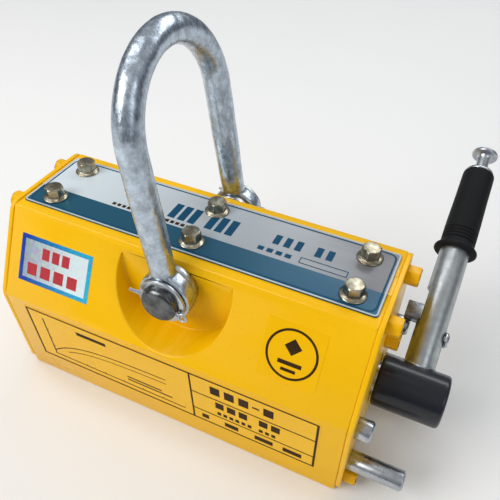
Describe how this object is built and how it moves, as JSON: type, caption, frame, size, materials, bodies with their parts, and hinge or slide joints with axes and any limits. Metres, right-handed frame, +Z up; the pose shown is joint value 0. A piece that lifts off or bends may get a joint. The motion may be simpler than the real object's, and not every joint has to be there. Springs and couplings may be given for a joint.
{
  "type": "lifting magnet",
  "caption": "Hand-switched permanent lifting magnet: painted magnetic body, swinging shackle, and a turning handle with a sprung latch that switches the rotor.",
  "frame": {"origin": "middle of the V-groove's length and width, in the plane of the pole faces that rest on the load", "axes": "+X along the body towards the handle, +Y towards the rear, where the handle leans at rest, +Z up towards the shackle"},
  "size_m": [0.1542, 0.1229, 0.1343],
  "materials": {
    "paint_yellow": "satin",
    "zinc_steel": "satin",
    "zinc_bolt": "satin",
    "black_paint": "satin",
    "grip_rubber": "matte",
    "bronze": "satin",
    "magnet": "satin",
    "core_steel": "satin",
    "aluminium": "satin",
    "brass_strip": "satin",
    "nameplate": "satin",
    "foil": "gloss",
    "label": "satin"
  },
  "bodies": {
    "body": {"pole_front": "paint_yellow", "pole_rear": "paint_yellow", "fixed_magnet": "magnet", "top_spacer": "aluminium", "bottom_spacer": "brass_strip", "end_plate_left": "paint_yellow", "end_plate_right": "paint_yellow", "bearing_disc_left": "aluminium", "bearing_disc_right": "aluminium", "bush_left": "bronze", "bush_right": "bronze", "plate_bolts_left": "paint_yellow", "plate_bolts_right": "paint_yellow", "nameplate": "nameplate", "nameplate_bolts": "zinc_bolt", "latch_pins": "zinc_steel", "stop_pins": "zinc_steel", "foil_sticker": "foil", "load_label": "label", "pictogram_label": "label", "pivot_pins": "zinc_steel", "spacer_collars": "zinc_steel", "pivot_washers": "zinc_steel", "split_pins": "zinc_steel"},
    "shackle": {"shackle": "zinc_steel"},
    "handle": {"rotor_core": "core_steel", "rotor_magnets": "magnet", "rotor_sleeve": "core_steel", "rotor_shaft": "core_steel", "hub": "black_paint", "handle_tube": "zinc_steel", "cross_screw": "zinc_steel", "grip": "grip_rubber", "end_cap": "zinc_steel", "latch_spring": "zinc_steel"},
    "latch": {"pull_knob": "zinc_steel", "latch_key": "zinc_steel"}
  },
  "joints": [
    {"name": "shackle_swing", "type": "hinge", "parent": "body", "child": "shackle", "pos_m": [0, 0, 0.0613], "axis": [0, 1, 0], "range_deg": [-59, 76]},
    {"name": "handle_turn", "type": "hinge", "parent": "body", "child": "handle", "pos_m": [0, 0, 0.0279], "axis": [1, 0, 0], "range_deg": [0, 130]},
    {"name": "knob_pull", "type": "slide", "parent": "handle", "child": "latch", "axis": [0, 0.9063, 0.4226], "range_m": [0, 0.0065], "stiffness_N_per_m": 400, "springref_m": -0.012, "deforming": ["latch_spring"]}
  ]
}
